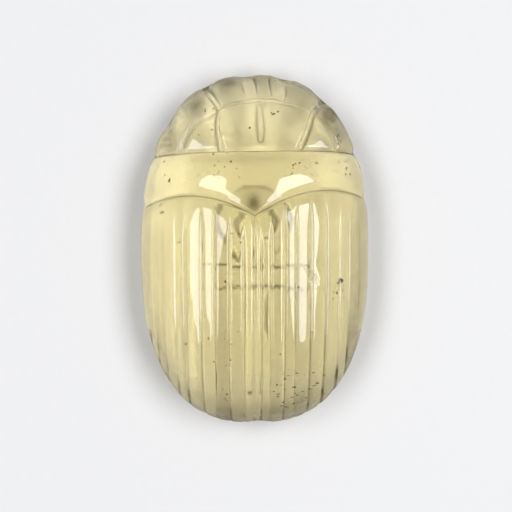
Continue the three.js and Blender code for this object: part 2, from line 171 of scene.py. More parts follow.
# Flaws in the stone: pixel of the middle, spread in pixels, how many, size in millimetres, and
# how much longer than high they are
FLAWS = (
    ((205, 168), (42, 13), 16, 0.17, 1),
    ((170, 181), (2, 3), 3, 0.24, 1),
    ((163, 211), (5, 6), 5, 0.22, 1),
    ((213, 131), (1, 1), 1, 0.24, 1),
    ((211, 114), (6, 5), 7, 0.14, 1.4),
    ((199, 137), (1, 1), 1, 0.18, 1),
    ((250, 131), (1, 1), 1, 0.18, 1),
    ((275, 116), (4, 2), 4, 0.15, 1.5),
    ((340, 135), (8, 10), 22, 0.16, 1),
    ((318, 170), (32, 8), 30, 0.14, 1),
    ((351, 172), (7, 5), 8, 0.2, 1),
    ((341, 279), (1, 1), 1, 0.34, 1.6),
    ((336, 288), (9, 10), 9, 0.19, 1.4),
    ((205, 352), (30, 20), 10, 0.18, 1),
    ((163, 356), (3, 7), 4, 0.24, 1),
    ((205, 400), (36, 9), 12, 0.15, 1.6),
    ((298, 386), (26, 20), 44, 0.13, 2.8),
    ((240, 185), (60, 12), 10, 0.15, 1),
    ((256, 310), (80, 90), 26, 0.15, 1.3),
)

# Legs on each side: stations of y in millimetres, and shares of the side's height and the radius
LEGS = (
    ((6.5, 0.62, 1), (12, 0.42, 0.8), (20.5, 0.3, 0.5)),
    ((4.8, 0.7, 1), (-1.5, 0.62, 0.8), (-7, 0.2, 0.5)),
    ((-4.5, 0.75, 1), (-12, 0.62, 0.8), (-20, 0.25, 0.5)),
)

# Bands along the outline, as shares of the way to it from the middle
STRIPES_FADE = (0.9, 0.99)
GROOVES_DARKEN = (0.86, 0.96)
WING_SHADE_THICKENS = (0.82, 0.95)
JOINTS_DARKEN = (0.85, 1)
EDGE_WORN = (0.95, 0.985)
SPECKS_END = 0.93

# Bands across the head plate's front edge, as shares of the way to it
BROW_BAND = (0.96, 1.04)
RIM_BAND = (0.98, 1.06)

# Behind the thorax: where the painted shade of the facets and the dark lines of the stripes deepen, and
# where the grooves' ends darken
TAIL_DARKENING = (10 * MM, 20 * MM)
GROOVE_ENDS = (16 * MM, 19 * MM)

# Painted shade on the wing cases and the head's rim: it grows between two x, in millimetres, by a third
WING_SHADE_STEPS = ((-8, -11, 1), (-1, 2, 2), (3, 7, -1.2))
WING_SHADE_AT_OUTLINE = 2.8
RIM_SHADE_STEPS = ((-5, -11, 0.09), (5, 11, 0.09), (5, 9, 0.12))
RIM_SHADE_BASE = 0.01

# Variation by hand of a stripe's start, depth, width and dirt at its end
START_RANGE = (0.5, 1.6)
DEPTH_RANGE = (0.6, 1.2)
WIDTH_RANGE = (0.75, 1.15)
END_RANGE = (0.5, 1.4)
OUTER_STRIPES = (9 * MM, 13 * MM)  # they get shallower over this stretch

ARCH_FADE = (8 * MM, 3.2 * MM)  # from no ridge to a full one, beside the head's middle
EDGE_ENDS = (9 * MM, 15 * MM)  # the worn edge gets mat over this stretch, to both ends

# Side of the stone: a nick darkens between two depths, and the hollow gets shallower between two
# shares of the half length
NICK_DARKENS = (0.04 * MM, 0.3 * MM)
HOLLOW_FADES = (0.5, 0.85)
SIDE_DIRT = 0.02
NICK_DIRT = 0.85
SIDE_MATNESS = 0.12

# Slow waves of hand polishing: radians per millimetre across and along, phase and size
WAVES = ((0.9, 0.35, 1.1, 1), (-0.5, 0.55, 2.3, 1), (0.4, 1.7, 0, 0.6), (1.9, -0.8, 0.7, 0.5))


def metres(name, description, value_mm):
    """A length property whose default is given in millimetres."""
    return FloatProperty(
        name=name, description=description, default=value_mm * MM, unit="LENGTH", subtype="DISTANCE"
    )


def number(name, description, value):
    """A plain number property, such as a ratio or a strength."""
    return FloatProperty(name=name, description=description, default=value, precision=4)


def degrees(name, description, value):
    """An angle property whose default is given in degrees."""
    return FloatProperty(
        name=name, description=description, default=math.radians(value), unit="ROTATION", subtype="ANGLE"
    )


def colour(name, description, value):
    """A colour property in linear values."""
    return FloatVectorProperty(
        name=name, description=description, default=value, size=4, min=0, max=1, subtype="COLOR"
    )


class ScarabForm(PropertyGroup):
    """The main forms. Most sizes are the solid's, and a few follow the photograph more closely."""

    front_squareness: number("Front Squareness", "Power of the plan curve at the head", 2.4)
    tail_squareness: number("Tail Squareness", "Power of the plan curve at the tail", 2.5)
    plinth_height: metres("Plinth Height", "Height of the flat base", 2.1)
    plinth_bevel: metres("Plinth Bevel", "Worn edge of the base", 0.35)
    plinth_follow: number("Plinth Follow", "How far the base follows the nicks above it", 0.35)
    edge_height: metres("Edge Height", "Where the wing cases turn down", 5)
    head_edge_drop: metres("Head Edge Drop", "How much lower that edge is at the head", 1.2)
    hollow_depth: metres("Hollow Depth", "Depth of the hollow round the side", 1.2)
    hollow_fade: number("Hollow Fade", "How much shallower it is at the head and the tail", 0.85)
    head_length: metres("Head Length", "Front to neck", 11.5)
    thorax_length: metres("Thorax Length", "Neck to the wing cases", 5.85)
    neck_slant: number("Neck Slant", "Rise of the neck line to the right", 0.015)
    joint_slant: number("Joint Slant", "Rise of the thorax's rear edge to the right", 0.04)
    point_length: metres("Point Length", "How far the thorax runs back in the middle", 3.2)
    point_reach: metres("Point Reach", "Half width of that point", 10)
    side_return: metres("Side Return", "How far its rear edge comes back at the sides", 1.1)
    thorax_tilt: number("Thorax Tilt", "Rise of the thorax towards the neck over the dome", 0.09)
    thorax_step: metres("Thorax Step", "Its rear edge below the dome, beside the point", 0.45)
    thorax_bevel: metres("Thorax Bevel", "Length of the slope at its rear edge", 1.5)
    thorax_fall: metres("Thorax Fall", "Length of the fall towards the neck", 4.2)
    wing_bevel_depth: metres("Wing Bevel Depth", "Rounding at the front of the wing cases", 0.45)
    wing_bevel_length: metres("Wing Bevel Length", "Length of that rounding", 1.2)
    neck_step: metres("Neck Step", "How far the head starts under the dome", 1.1)
    collar_depth: metres("Collar Depth", "Drop of the head plate at the neck", 0.3)
    collar_length: metres("Collar Length", "Length of that drop", 0.8)
    plate_fall: metres("Plate Fall", "Fall of the head plate to its edge", 2.2)
    plate_tilt: number("Plate Tilt", "Even slope of the plate towards the front", 0.13)
    plate_roundness: number("Plate Roundness", "Power of the rest of its fall", 1.6)
    rim_roundness: number("Rim Roundness", "Power of the rim's fall, 0.5 is a quarter circle", 0.5)
    brow_step: metres("Brow Step", "Drop from the plate to the rim", 0.4)
    head_shift: metres("Head Shift", "The head plate's middle", 0.65)
    plate_half_width: metres("Plate Half Width", "Half width of the head plate", 10.6)
    plate_length: metres("Plate Length", "Length of the head plate", 7.3)
    face_shift: metres("Face Shift", "Middle of the rim's lobes", 1.35)
    lobe_width: metres("Lobe Width", "Width of each lobe of the rim", 5.5)
    lobe_depth: metres("Lobe Depth", "Depth of the dips between them", 0.5)
    notch_depth: metres("Notch Depth", "Nick in the outline at the neck and joint", 0.35)
    notch_width: metres("Notch Width", "Width of that nick", 1.6)
    cleft_shift: metres("Cleft Shift", "Place of the notch in the tail", 0.5)
    cleft_depth: metres("Cleft Depth", "Depth of the notch in the tail", 0.5)
    cleft_width: metres("Cleft Width", "Width of the notch in the tail", 2.2)
    leg_radius: metres("Leg Radius", "Half thickness of the legs in relief", 0.8)
    wobble: metres("Wobble", "Unevenness of the hand-polished surface", 0.02)


class ScarabCarving(PropertyGroup):
    """The carved lines, and the painted shade on the wing cases."""

    stripe_width: metres("Stripe Width", "Width of a stripe's groove", 0.8)
    stripe_depth: metres("Stripe Depth", "Depth of a stripe's groove", 0.23)
    stripe_margin: metres("Stripe Margin", "Bare border behind the thorax", 1.3)
    stripe_drift: number("Stripe Drift", "How far the stripes draw together", 0.055)
    # The dark line on one wall of each groove is partly dirt and partly painted shade on that wall.
    stripe_dirt_and_shade: number("Stripe Dirt", "Dirt on one wall of each stripe's groove", 0.46)
    facet_tilt: number("Facet Tilt", "Greatest slope of the facet between two stripes", 0.06)
    # The facet shade is painted shade: a darker tint on some facets.
    facet_shade: number("Facet Shade", "Greatest film of dirt on such a facet", 0.34)
    # The film is painted shade over the wing cases, stronger at the outline.
    film: number("Film", "Film of dirt on the wing cases, thicker at the sides", 0.12)
    seam_width: metres("Seam Width", "Width of the line between the wing cases", 0.8)
    seam_depth: metres("Seam Depth", "Depth of that line", 0.22)
    joint_width: metres("Joint Width", "Width of the lines across the beetle", 0.9)
    joint_depth: metres("Joint Depth", "Depth of those lines", 0.35)
    arch_rise: metres("Arch Rise", "Height of the ridge at the head plate's front edge", 0.26)
    arch_width: metres("Arch Width", "Width of that ridge", 0.9)
    nick_width: metres("Nick Width", "Width of the nicks across the rim", 0.5)
    nick_depth: metres("Nick Depth", "Depth of those nicks", 0.12)
    nick_length: metres("Nick Length", "Length of those nicks", 1.1)
    chip_width: metres("Chip Width", "Width of the chip on the right wing case", 1.1)
    chip_depth: metres("Chip Depth", "Depth of that chip", 0.1)
    belly_depth: metres("Belly Line Depth", "Depth of the lines under the base", 0.22)
    seed: IntProperty(name="Seed", description="Seed of the hand-made variation", default=7)


class ScarabStone(PropertyGroup):
    """The finish of the stone and its flaws."""

    clear: colour("Clear Colour", "Surface tint of the clean stone", (1, 1, 1, 1))
    # This tint paints the shade on the facets, wing cases, rim and ridge, as well as the dirt.
    dirt_and_shade: colour("Dirt Colour", "Tint where dirt sits in a groove", (0.10, 0.08, 0.035, 1))
    absorbed: colour("Body Colour", "Colour that is left deep in the stone", (0.988, 0.9, 0.44, 1))
    density: number("Body Density", "Strength of the body colour, per metre", 62.0)
    ior: number("Refraction", "Index of refraction", 1.53)
    polish: number("Polish", "Roughness of the polished back", 0.03)
    matness: number("Matness", "Roughness of the ground places", 0.5)
    scratch_depth: metres("Scratch Depth", "Depth of the fine scratches", 0.02)
    flaw: colour("Flaw Colour", "Colour of the specks", (0.07, 0.05, 0.02, 1))


class ScarabStage(PropertyGroup):
    """Floor, lights and camera."""

    floor_colour: colour("Floor Colour", "Pale paper", (0.612, 0.602, 0.551, 1))
    floor_half: metres("Floor Half Size", "Half of the floor's length and width", 1500)
    floor_drop: metres("Floor Drop", "Gap between the base and the floor", 0.03)
    light_colour: colour("Light Colour", "Of the lamps and the sky", (0.882, 0.9, 1.0, 1))
    sky_strength: number("Sky Strength", "Light from all round", 0.267)
    lamp_distance: metres("Lamp Distance", "From the amulet to each lamp", 500)
    lamp_length: metres("Lamp Length", "Length of each lamp along the beetle", 520)
    lamp_lean: degrees("Lamp Lean", "How far both lamps lean towards the head", 0.5)
    inner_tilt: degrees("Inner Tilt", "Inner edge of each lamp, from straight above", 16)
    left_tilt: degrees("Left Tilt", "Outer edge of the left lamp, from straight above", 38)
    right_tilt: degrees("Right Tilt", "Outer edge of the right lamp, from straight above", 41)
    left_watts: number("Left Lamp", "Power of the left lamp", 1.91)
    right_watts: number("Right Lamp", "Power of the right lamp", 2.61)
    lens: number("Lens", "Focal length in millimetres", 100.0)


def smooth(low, high, value):
    """0 below low, 1 above high, and a soft rise between them."""
    t = np.clip((value - low) / (high - low), 0, 1)
    return t * t * (3 - 2 * t)


def rounding(value):
    """Quarter circle: 1 at 0 and 0 at 1."""
    return np.sqrt(1 - np.clip(value, 0, 1) ** 2)


def outline_share(value, power):
    """The other coordinate of the outline, as a share of its half size."""
    return (1 - np.minimum(1, np.abs(value)) ** power) ** (1 / power)


def grown(value, x, steps):
    """A value that grows between each step's first two x, in millimetres, by its third number."""
    for first, last, growth in steps:
        value = value + growth * smooth(first * MM, last * MM, x)
    return value


def crowd_ends(t):
    """Spreads 0 to 1 so that both ends are dense."""
    return (1 - np.cos(np.pi * t)) / 2


def pixel_point(px, py):
    """Place on the beetle, in metres, of a pixel of the photograph."""
    return (px - ORIGIN_PIXEL[0]) * PIXEL, (ORIGIN_PIXEL[1] - py) * PIXEL


def belly_point(px, py):
    """Place under the base that shows at a pixel, since the domed back enlarges what is below."""
    x, y = pixel_point(px, py)
    return x / ENLARGED[0], y / ENLARGED[1]


def placed(stations, place=pixel_point):
    """Stations of pixel x, pixel y and strength, with their pixels turned into metres."""
    return [(*place(px, py), strength) for px, py, strength in stations]


class Beetle:
    """Plan lines and heights of the scarab, as functions of x and y in metres."""

    def __init__(self, form):
        self.form = form
        self.neck_y = HALF_LENGTH - form.head_length
        self.joint_y = self.neck_y - form.thorax_length

    def squareness(self, y):
        """Power of the plan curve."""
        return np.where(y > 0, self.form.front_squareness, self.form.tail_squareness)

    def reach(self, x, y):
        """0 in the middle of the beetle and 1 on its outline."""
        n = self.squareness(y)
        return (np.abs(x / HALF_WIDTH) ** n + np.abs(y / HALF_LENGTH) ** n) ** (1 / n)

    def front(self, x):
        return HALF_LENGTH * outline_share(x / HALF_WIDTH, self.form.front_squareness)

    def tail(self, x):
        return -HALF_LENGTH * outline_share(x / HALF_WIDTH, self.form.tail_squareness)

    def neck(self, x):
        return self.neck_y + self.form.neck_slant * x

    def joint(self, x):
        """Rear edge of the thorax."""
        f = self.form
        point = f.point_length * np.clip(1 - np.abs(x) / f.point_reach, 0, 1) ** 2
        side = np.clip((np.abs(x) - f.point_reach) / (HALF_WIDTH - f.point_reach), 0, 1) ** 2
        return self.joint_y - point - f.side_return * side + f.joint_slant * x

    def nick(self, x, y):
        """How far the outline of the back is cut in."""
        f = self.form
        joint = np.exp(-(((y - self.joint(x)) / (f.notch_width / 2)) ** 2))
        neck = np.exp(-(((y - self.neck(x)) / (f.notch_width / 2)) ** 2))
        lobes = np.abs(np.sin(np.pi * (x - f.face_shift) / f.lobe_width)) ** 6
        front = smooth(self.neck_y, self.neck_y + f.head_length / 2, y)
        cleft = np.exp(-(((x - f.cleft_shift) / (f.cleft_width / 2)) ** 2)) * (y < 0)
        sides = f.notch_depth * (joint + neck)
        return sides + f.lobe_depth * front * lobes + f.cleft_depth * cleft

    def edge(self, y):
        """Height where the back turns down to the side."""
        f = self.form
        to_head = smooth(self.joint_y, self.neck_y + f.plate_length, y)
        return f.edge_height - f.head_edge_drop * to_head

    def dome(self, x, y):
        """Height of the plain dome."""
        edge = self.edge(y)
        return edge + (TOP - edge) * rounding(self.reach(x, y))

    def normal(self, x, y):
        """Outward direction of the plain dome."""
        n = self.squareness(y)
        out = np.maximum(1e-4, self.reach(x, y))
        steep = out ** (2 - n)
        nx = np.sign(x) * np.abs(x / HALF_WIDTH) ** (n - 1) / HALF_WIDTH * steep
        ny = np.sign(y) * np.abs(y / HALF_LENGTH) ** (n - 1) / HALF_LENGTH * steep
        nz = rounding(out) / (TOP - self.edge(y))
        direction = np.stack([nx, ny, nz], axis=-1)
        return direction / np.linalg.norm(direction, axis=-1, keepdims=True)

    def plate_out(self, x, y):
        """0 in the middle of the head plate's rear edge and 1 on its rounded front edge."""
        f = self.form
        return np.hypot((x - f.head_shift) / f.plate_half_width, (y - self.neck(x)) / f.plate_length)

    def head(self, x, y):
        """Height of the head: its plate, and the rim beyond the brow."""
        f = self.form
        out = self.plate_out(x, y)
        edge = self.edge(y)
        top = self.dome(0.0, self.neck_y) - f.neck_step
        ahead = np.clip(y - self.neck(x), 0, f.plate_length)
        curved = f.plate_fall - f.plate_tilt * f.plate_length
        plate = top - f.plate_tilt * ahead - curved * np.minimum(1, out) ** f.plate_roundness
        here = self.reach(x, y)
        at_brow = np.minimum(here / np.maximum(out, 1), 0.99)
        band = (here - at_brow) / (1 - at_brow)
        fall = (1 - np.clip(band, 0, 1) ** 2) ** f.rim_roundness
        rim = edge + (top - f.plate_fall - f.brow_step - edge) * fall
        blend = smooth(*BROW_BAND, out)
        collar = f.collar_depth * (1 - smooth(0, f.collar_length, y - self.neck(x)))
        height = plate * (1 - blend) + rim * blend - collar * rounding(here)
        return np.minimum(self.dome(x, y), height)

    def back(self, x, y):
        """Height of the back before the lines are carved."""
        f = self.form
        neck = self.neck(x)
        joint = self.joint(x)
        fade = rounding(self.reach(x, y))
        bevel = np.exp(-(((joint - y) / f.wing_bevel_length) ** 2))
        wings = self.dome(x, y) - fade * f.wing_bevel_depth * bevel
        rear = 1 - smooth(0, f.thorax_bevel, y - joint)
        front = 1 - smooth(0, f.thorax_fall, neck - y)
        rear = rear * (0.25 + 0.75 * smooth(0.2, 0.5, np.abs(x) / f.point_reach))
        lift = f.thorax_tilt * np.maximum(0, y - joint - f.thorax_bevel / 2) * (1 - front)
        thorax = self.dome(x, y) + fade * (lift - f.thorax_step * np.maximum(rear, front))
        return np.where(y > neck, self.head(x, y), np.where(y > joint, thorax, wings))


def v_cut(distance, width):
    """Profile of a V-shaped cut with softened shoulders: 1 in the middle, 0 at its edges."""
    return (1 - np.clip(np.abs(distance) / (width / 2), 0, 1)) ** 1.25


def u_cut(distance, width):
    """Profile of a rounded hollow."""
    return (1 - np.clip(np.abs(distance) / (width / 2), 0, 1) ** 2) ** 1.5


def along_path(x, y, path):
    """Distance to a line through (x, y, strength) stations, and the strength beside each point."""
    nearest = np.full(x.shape, np.inf)
    strength = np.zeros(x.shape)
    for (ax, ay, a), (bx, by, b) in zip(path, path[1:]):
        dx, dy = bx - ax, by - ay
        t = np.clip(((x - ax) * dx + (y - ay) * dy) / (dx * dx + dy * dy), 0, 1)
        distance = np.hypot(x - ax - t * dx, y - ay - t * dy)
        closer = distance < nearest
        nearest = np.where(closer, distance, nearest)
        strength = np.where(closer, a + (b - a) * t, strength)
    return nearest, strength


class Relief:
    """Depth that carving takes away at each point, and the dirt, painted shade and matness it leaves
    there.
    """

    def __init__(self, x, y):
        self.x = x
        self.y = y
        self.depth = np.zeros(x.shape)
        self.dirt_and_shade = np.zeros(x.shape)
        self.matness = np.zeros(x.shape)

    def away(self, middle, half_x, half_y):
        """Distance from a place, as a share of the half sizes round it."""
        return np.hypot((self.x - middle[0]) / half_x, (self.y - middle[1]) / half_y)

    def soil_and_shade(self, amount):
        """Adds dirt and painted shade where there is less than this."""
        self.dirt_and_shade = np.maximum(self.dirt_and_shade, amount)

    def grind(self, amount):
        """Makes the surface mat where it is less so than this."""
        self.matness = np.maximum(self.matness, amount)

    def cut(self, profile, depth, dirt_and_shade=0, rim_dirt=0, matness=0):
        """Carves a profile that runs from 0 at its edges to 1, with dirt in it and on its walls."""
        self.depth = np.maximum(self.depth, depth * profile)
        self.soil_and_shade(dirt_and_shade * smooth(0.3, 0.95, profile))
        self.soil_and_shade(rim_dirt * (4 * profile * (1 - profile)) ** 2)
        self.grind(matness * smooth(0, 0.5, profile))

    def stroke(self, path, width, depth, dirt_and_shade=0, rim_dirt=0, matness=0, keep=1):
        """Carves a rounded line, which is narrower where it is weaker."""
        distance, strength = along_path(self.x, self.y, path)
        profile = u_cut(distance, width * (0.3 + 0.7 * strength)) * keep
        soft = smooth(0, 0.4, strength)
        self.cut(profile, depth * strength, dirt_and_shade * soft, rim_dirt * soft, matness * soft)


def tilted_facets(carving, rng, x_station, behind):
    """Depth and painted shade of the facets between the stripes, most of them barely shaded."""
    edges = np.sort(np.concatenate([STRIPES, [-HALF_WIDTH, 0, HALF_WIDTH]]))
    middles = (edges[1:] + edges[:-1]) / 2
    tilts = rng.uniform(-1, 1, len(middles)) * carving.facet_tilt
    shades = rng.uniform(0, 1, len(middles)) ** 2.5 * carving.facet_shade
    which = np.clip(np.searchsorted(edges, x_station) - 1, 0, len(middles) - 1)
    start = smooth(carving.stripe_margin, 5 * carving.stripe_margin, behind)
    level_at_ends = smooth(0, 0.08, 1 - np.abs(x_station) / HALF_WIDTH)
    depth = tilts[which] * (x_station - middles[which]) * start * level_at_ends
    return depth, shades[which] * start


def carve_stripes(relief, beetle, carving, x_station):
    """The stripes of the wing cases, the facets between them, and a film of painted shade over both."""
    rng = np.random.default_rng(carving.seed)
    behind = beetle.joint(relief.x) - relief.y
    reach = beetle.reach(relief.x, relief.y)
    on_wings = behind > 0
    tail_darkening = 1 + 0.5 * smooth(*TAIL_DARKENING, behind)
    # Painted shade: on each facet, deeper towards the tail, and as a film over the wing cases, stronger
    # at the outline.
    facet, shade = tilted_facets(carving, rng, x_station, behind)
    film = grown(WING_SHADE_AT_OUTLINE * smooth(*WING_SHADE_THICKENS, reach), x_station, WING_SHADE_STEPS)
    relief.soil_and_shade(np.where(on_wings, shade * tail_darkening + carving.film * film, 0))
    shallower = 1 - 0.6 * smooth(*STRIPES_FADE, reach)
    dark_end = smooth(*GROOVES_DARKEN, reach) * smooth(*GROOVE_ENDS, behind)
    for place in STRIPES:
        start = carving.stripe_margin * rng.uniform(*START_RANGE)
        strength = rng.uniform(*DEPTH_RANGE) * (1 - 0.5 * smooth(*OUTER_STRIPES, abs(place)))
        width = carving.stripe_width * rng.uniform(*WIDTH_RANGE)
        side = rng.choice((-1, 1))
        taper = smooth(start, start + 3 * carving.stripe_margin, behind) ** 0.7
        across = x_station - place
        profile = taper * v_cut(across, width * (0.4 + 0.6 * taper)) * on_wings
        relief.cut(profile, carving.stripe_depth * strength * shallower)
        # A dark line on one wall of each groove: partly dirt in it, partly painted shade on that wall.
        line = smooth(0, 1, 1 - np.abs(across + side * 0.12 * width) / (0.3 * width))
        relief.soil_and_shade(carving.stripe_dirt_and_shade * strength * tail_darkening * taper * line * on_wings)
        groove = smooth(0.5 * width, 0.1 * width, np.abs(across))
        relief.soil_and_shade(dark_end * groove * rng.uniform(*END_RANGE))
    relief.depth += np.where(on_wings, facet, 0)


def carve_joints(relief, beetle, carving):
    """The chip, the seam between the wing cases, and the two lines across the beetle."""
    relief.stroke(placed(WING_CHIP), carving.chip_width, carving.chip_depth, dirt_and_shade=0.3, matness=0.7)
    x, y = relief.x, relief.y
    joint = y - beetle.joint(x)
    at_side = smooth(*JOINTS_DARKEN, beetle.reach(x, y))
    seam = v_cut(x, carving.seam_width) * (joint < 0)
    relief.cut(seam, carving.seam_depth, dirt_and_shade=0.3)
    for line, dirt_and_shade in ((y - beetle.neck(x), 0.8), (joint, 0.7)):
        profile = v_cut(line, carving.joint_width)
        relief.cut(profile, carving.joint_depth)
        relief.soil_and_shade(smooth(0.55, 0.9, profile) * (dirt_and_shade + (0.95 - dirt_and_shade) * at_side))


def wear_edges(relief, beetle):
    """The slightly ground rim of the head, the worn edge all round, and painted shade on the rim, darker
    at its sides and most on the right.
    """
    x, y = relief.x, relief.y
    rim = smooth(*RIM_BAND, beetle.plate_out(x, y)) * (y > beetle.neck(x))
    relief.grind(0.05 * rim)
    worn = smooth(*EDGE_WORN, beetle.reach(x, y))
    relief.grind(worn * (0.2 + 0.8 * smooth(*EDGE_ENDS, np.abs(y))))
    # Painted shade on the rim, darker at its sides and most on the right.
    relief.soil_and_shade(rim * grown(RIM_SHADE_BASE, x, RIM_SHADE_STEPS))


def add_shade_and_marks(relief):
    """The painted shade and the few dark marks, which fade out softly."""
    for middle, radii, strength in SHADE_AND_MARK_SPOTS:
        away = relief.away(pixel_point(*middle), radii[0] * PIXEL, radii[1] * PIXEL)
        relief.dirt_and_shade += strength * np.exp(-(away**2))


def carve_head(relief, beetle, carving):
    """The ridge, with painted shade on its flanks, and the lines and nicks of the head."""
    x, y = relief.x, relief.y
    on_head = (y > beetle.neck(x)) * 1.0
    arch = (beetle.plate_out(x, y) - 1) * beetle.form.plate_length
    beside = smooth(*ARCH_FADE, np.abs(x - beetle.form.head_shift))
    ridge = v_cut(arch, carving.arch_width) * on_head * beside
    relief.depth -= carving.arch_rise * ridge
    # Painted shade on both flanks of the ridge, which leaves its crest light.
    relief.soil_and_shade(0.55 * (4 * ridge * (1 - ridge)) ** 2)
    for stations, width, depth, dirt_and_shade, rim_dirt in HEAD_LINES.values():
        relief.stroke(placed(stations), width * MM, depth * MM, dirt_and_shade, rim_dirt, keep=on_head)
    for middle, turn in RIM_NICKS:
        mx, my = pixel_point(*middle)
        dx = math.cos(math.radians(turn)) * carving.nick_length / 2
        dy = math.sin(math.radians(turn)) * carving.nick_length / 2
        path = [(mx - dx, my - dy, 0.5), (mx + dx, my + dy, 1)]
        relief.stroke(path, carving.nick_width, carving.nick_depth, 0.45, matness=0.3)


def carve_belly(relief, carving):
    """The lines under the base, which show through the stone."""
    for width, line in BELLY_LINES:
        path = placed(line, belly_point)
        relief.stroke(path, width * MM, carving.belly_depth, dirt_and_shade=0.75, matness=BELLY_MATNESS)
    for middle, (half_x, half_y), fade, strength in BELLY_PATCHES:
        away = relief.away(belly_point(*middle), half_x * MM, half_y * MM)
        relief.soil_and_shade(strength * (1 - smooth(*fade, away)))
    relief.grind(BELLY_MATNESS)


def wobble(form, x, y):
    """Slow unevenness of hand polishing."""
    waves = 0
    for across, along, phase, size in WAVES:
        waves = waves + size * np.sin(across * x / MM + along * y / MM + phase)
    return form.wobble * waves / 2


def station_places(carving):
    """Places of the mesh's cuts across: one set along the stripes, and an even set for the head."""
    shares = np.array([0, 0.2, 0.45, 0.72, 1])
    shares = np.concatenate([-shares[:0:-1], shares]) * carving.stripe_width / 2
    lines = np.concatenate([STRIPES, [0]])
    cuts = np.unique(np.round((lines[:, None] + shares).ravel(), 5))
    core = [cuts[0]]
    for cut in cuts[1:]:
        gap = cut - core[-1]
        if gap < SHORTEST_STEP:
            continue
        steps = math.ceil(gap / LONGEST_STEP)
        core.extend(np.linspace(core[-1], cut, steps + 1)[1:])
    core = np.array(core)
    ends = []
    for edge in (core[0], core[-1]):
        bend = np.linspace(math.asin(abs(edge) / HALF_WIDTH), math.pi / 2, OUTER_CUTS + 1)[1:]
        ends.append(math.copysign(HALF_WIDTH, edge) * np.sin(bend))
    even = np.linspace(core[0], core[-1], len(core))
    return tuple(np.concatenate([ends[0][::-1], middle, ends[1]]) for middle in (core, even))


def spaced(steps):
    """Values from 0 up to each step's end, with as many even rows on the way as it says."""
    values = [0.0]
    for end, rows in steps:
        values.extend(np.linspace(values[-1], end, rows + 1)[1:])
    return np.array(values)


def side_levels(form):
    """Inset and height share of each level of the side, from the back's edge to the base.

    The height share runs from 1 at the edge to 0 at the top of the plinth, and on to -1 below it.
    """
    levels = []
    for down in np.linspace(0, 1, WALL_ROWS):
        swell = math.sin(math.pi * down)
        depth = swell if down < 0.5 else 0.6 + 0.4 * swell
        levels.append((form.hollow_depth * depth, 1 - down))
    bevel = form.plinth_bevel
    corner = bevel / form.plinth_height
    levels += [(bevel, 0.0), (bevel * 0.3, -corner * 0.3), (0.0, -corner)]
    levels += [(0.0, -0.5), (0.0, -1 + corner), (bevel * 0.3, -1 + corner * 0.3)]
    return levels


def leg_relief(beetle, y, z):
    """How far a leg stands out of the hollow at a place along the side."""
    form = beetle.form
    low = form.plinth_height / MM
    relief = np.zeros(y.shape)
    for path in LEGS:
        heights = [float(beetle.edge(py * MM)) / MM - low for py, _, _ in path]
        stations = [(py, low + full * share, size) for full, (py, share, size) in zip(heights, path)]
        distance, size = along_path(y / MM, z / MM, stations)
        radius = form.leg_radius * size / MM
        relief = np.maximum(relief, MM * radius * rounding(distance / radius))
    return relief


def wall(beetle, x_edge, y_edge):
    """Points, dirt and matness of the side below one end of every cut, from the top down."""
    form = beetle.form
    low = form.plinth_height
    edge = beetle.edge(y_edge)
    nick = beetle.nick(x_edge, y_edge)
    notch = smooth(*NICK_DARKENS, nick)
    follow = 1 - form.plinth_follow * nick / np.hypot(x_edge, y_edge)
    keep = 1 - form.hollow_fade * smooth(*HOLLOW_FADES, np.abs(y_edge) / HALF_LENGTH)
    points, dirt_and_shade = [], []
    for inset, height in side_levels(form):
        z = np.where(height >= 0, low + (edge - low) * height, low * (1 + height))
        out = leg_relief(beetle, y_edge, z) if 0 < height < 1 else 0
        shrink = follow * (1 - np.maximum(0, inset * keep - out) / HALF_WIDTH)
        points.append(np.stack([x_edge * shrink, y_edge * shrink, z], axis=-1))
        dirt_and_shade.append(SIDE_DIRT + NICK_DIRT * notch * (height > -0.9))
    points, dirt_and_shade = np.stack(points, axis=1)[:, 1:], np.stack(dirt_and_shade, axis=1)[:, 1:]
    return points, dirt_and_shade, np.full(dirt_and_shade.shape, SIDE_MATNESS)


def plan(beetle, carving):
    """Places of the back's points seen from above, and the x at which each cut starts."""
    along, even = station_places(carving)
    x_station, row = np.meshgrid(along, spaced(BACK_ROWS), indexing="ij")
    on_head = smooth(1.05, 1.9, row)
    x = x_station + (even[:, None] - x_station) * on_head
    gather = np.clip(1 - row, 0, 1) ** 3 * (1 - np.abs(x_station / HALF_WIDTH) ** 8)
    x *= 1 - carving.stripe_drift * gather
    tail, front = beetle.tail(x), beetle.front(x)
    joint = np.clip(beetle.joint(x), tail, front)
    neck = np.clip(beetle.neck(x), tail, front)
    wings = tail + (joint - tail) * crowd_ends(np.clip(row, 0, 1))
    thorax = joint + (neck - joint) * crowd_ends(np.clip(row - 1, 0, 1))
    head = neck + (front - neck) * crowd_ends(np.clip(row - 2, 0, 1))
    return x, np.where(row <= 1, wings, np.where(row <= 2, thorax, head)), x_station


def back_part(beetle, carving, x, y, x_station):
    """Points, dirt with painted shade, and matness of the carved back, from the tail to the front."""
    relief = Relief(x, y)
    carve_joints(relief, beetle, carving)
    wear_edges(relief, beetle)
    add_shade_and_marks(relief)
    carve_head(relief, beetle, carving)
    carve_stripes(relief, beetle, carving, x_station)
    reach = beetle.reach(x, y)
    relief.depth += wobble(beetle.form, x, y) * rounding(reach)
    squeeze = 1 - beetle.nick(x, y) / np.maximum(np.hypot(x, y), MM) * reach**8
    points = np.stack([x * squeeze, y * squeeze, beetle.back(x, y)], axis=-1)
    points -= beetle.normal(x, y) * relief.depth[..., None]
    return points, relief.dirt_and_shade, relief.matness


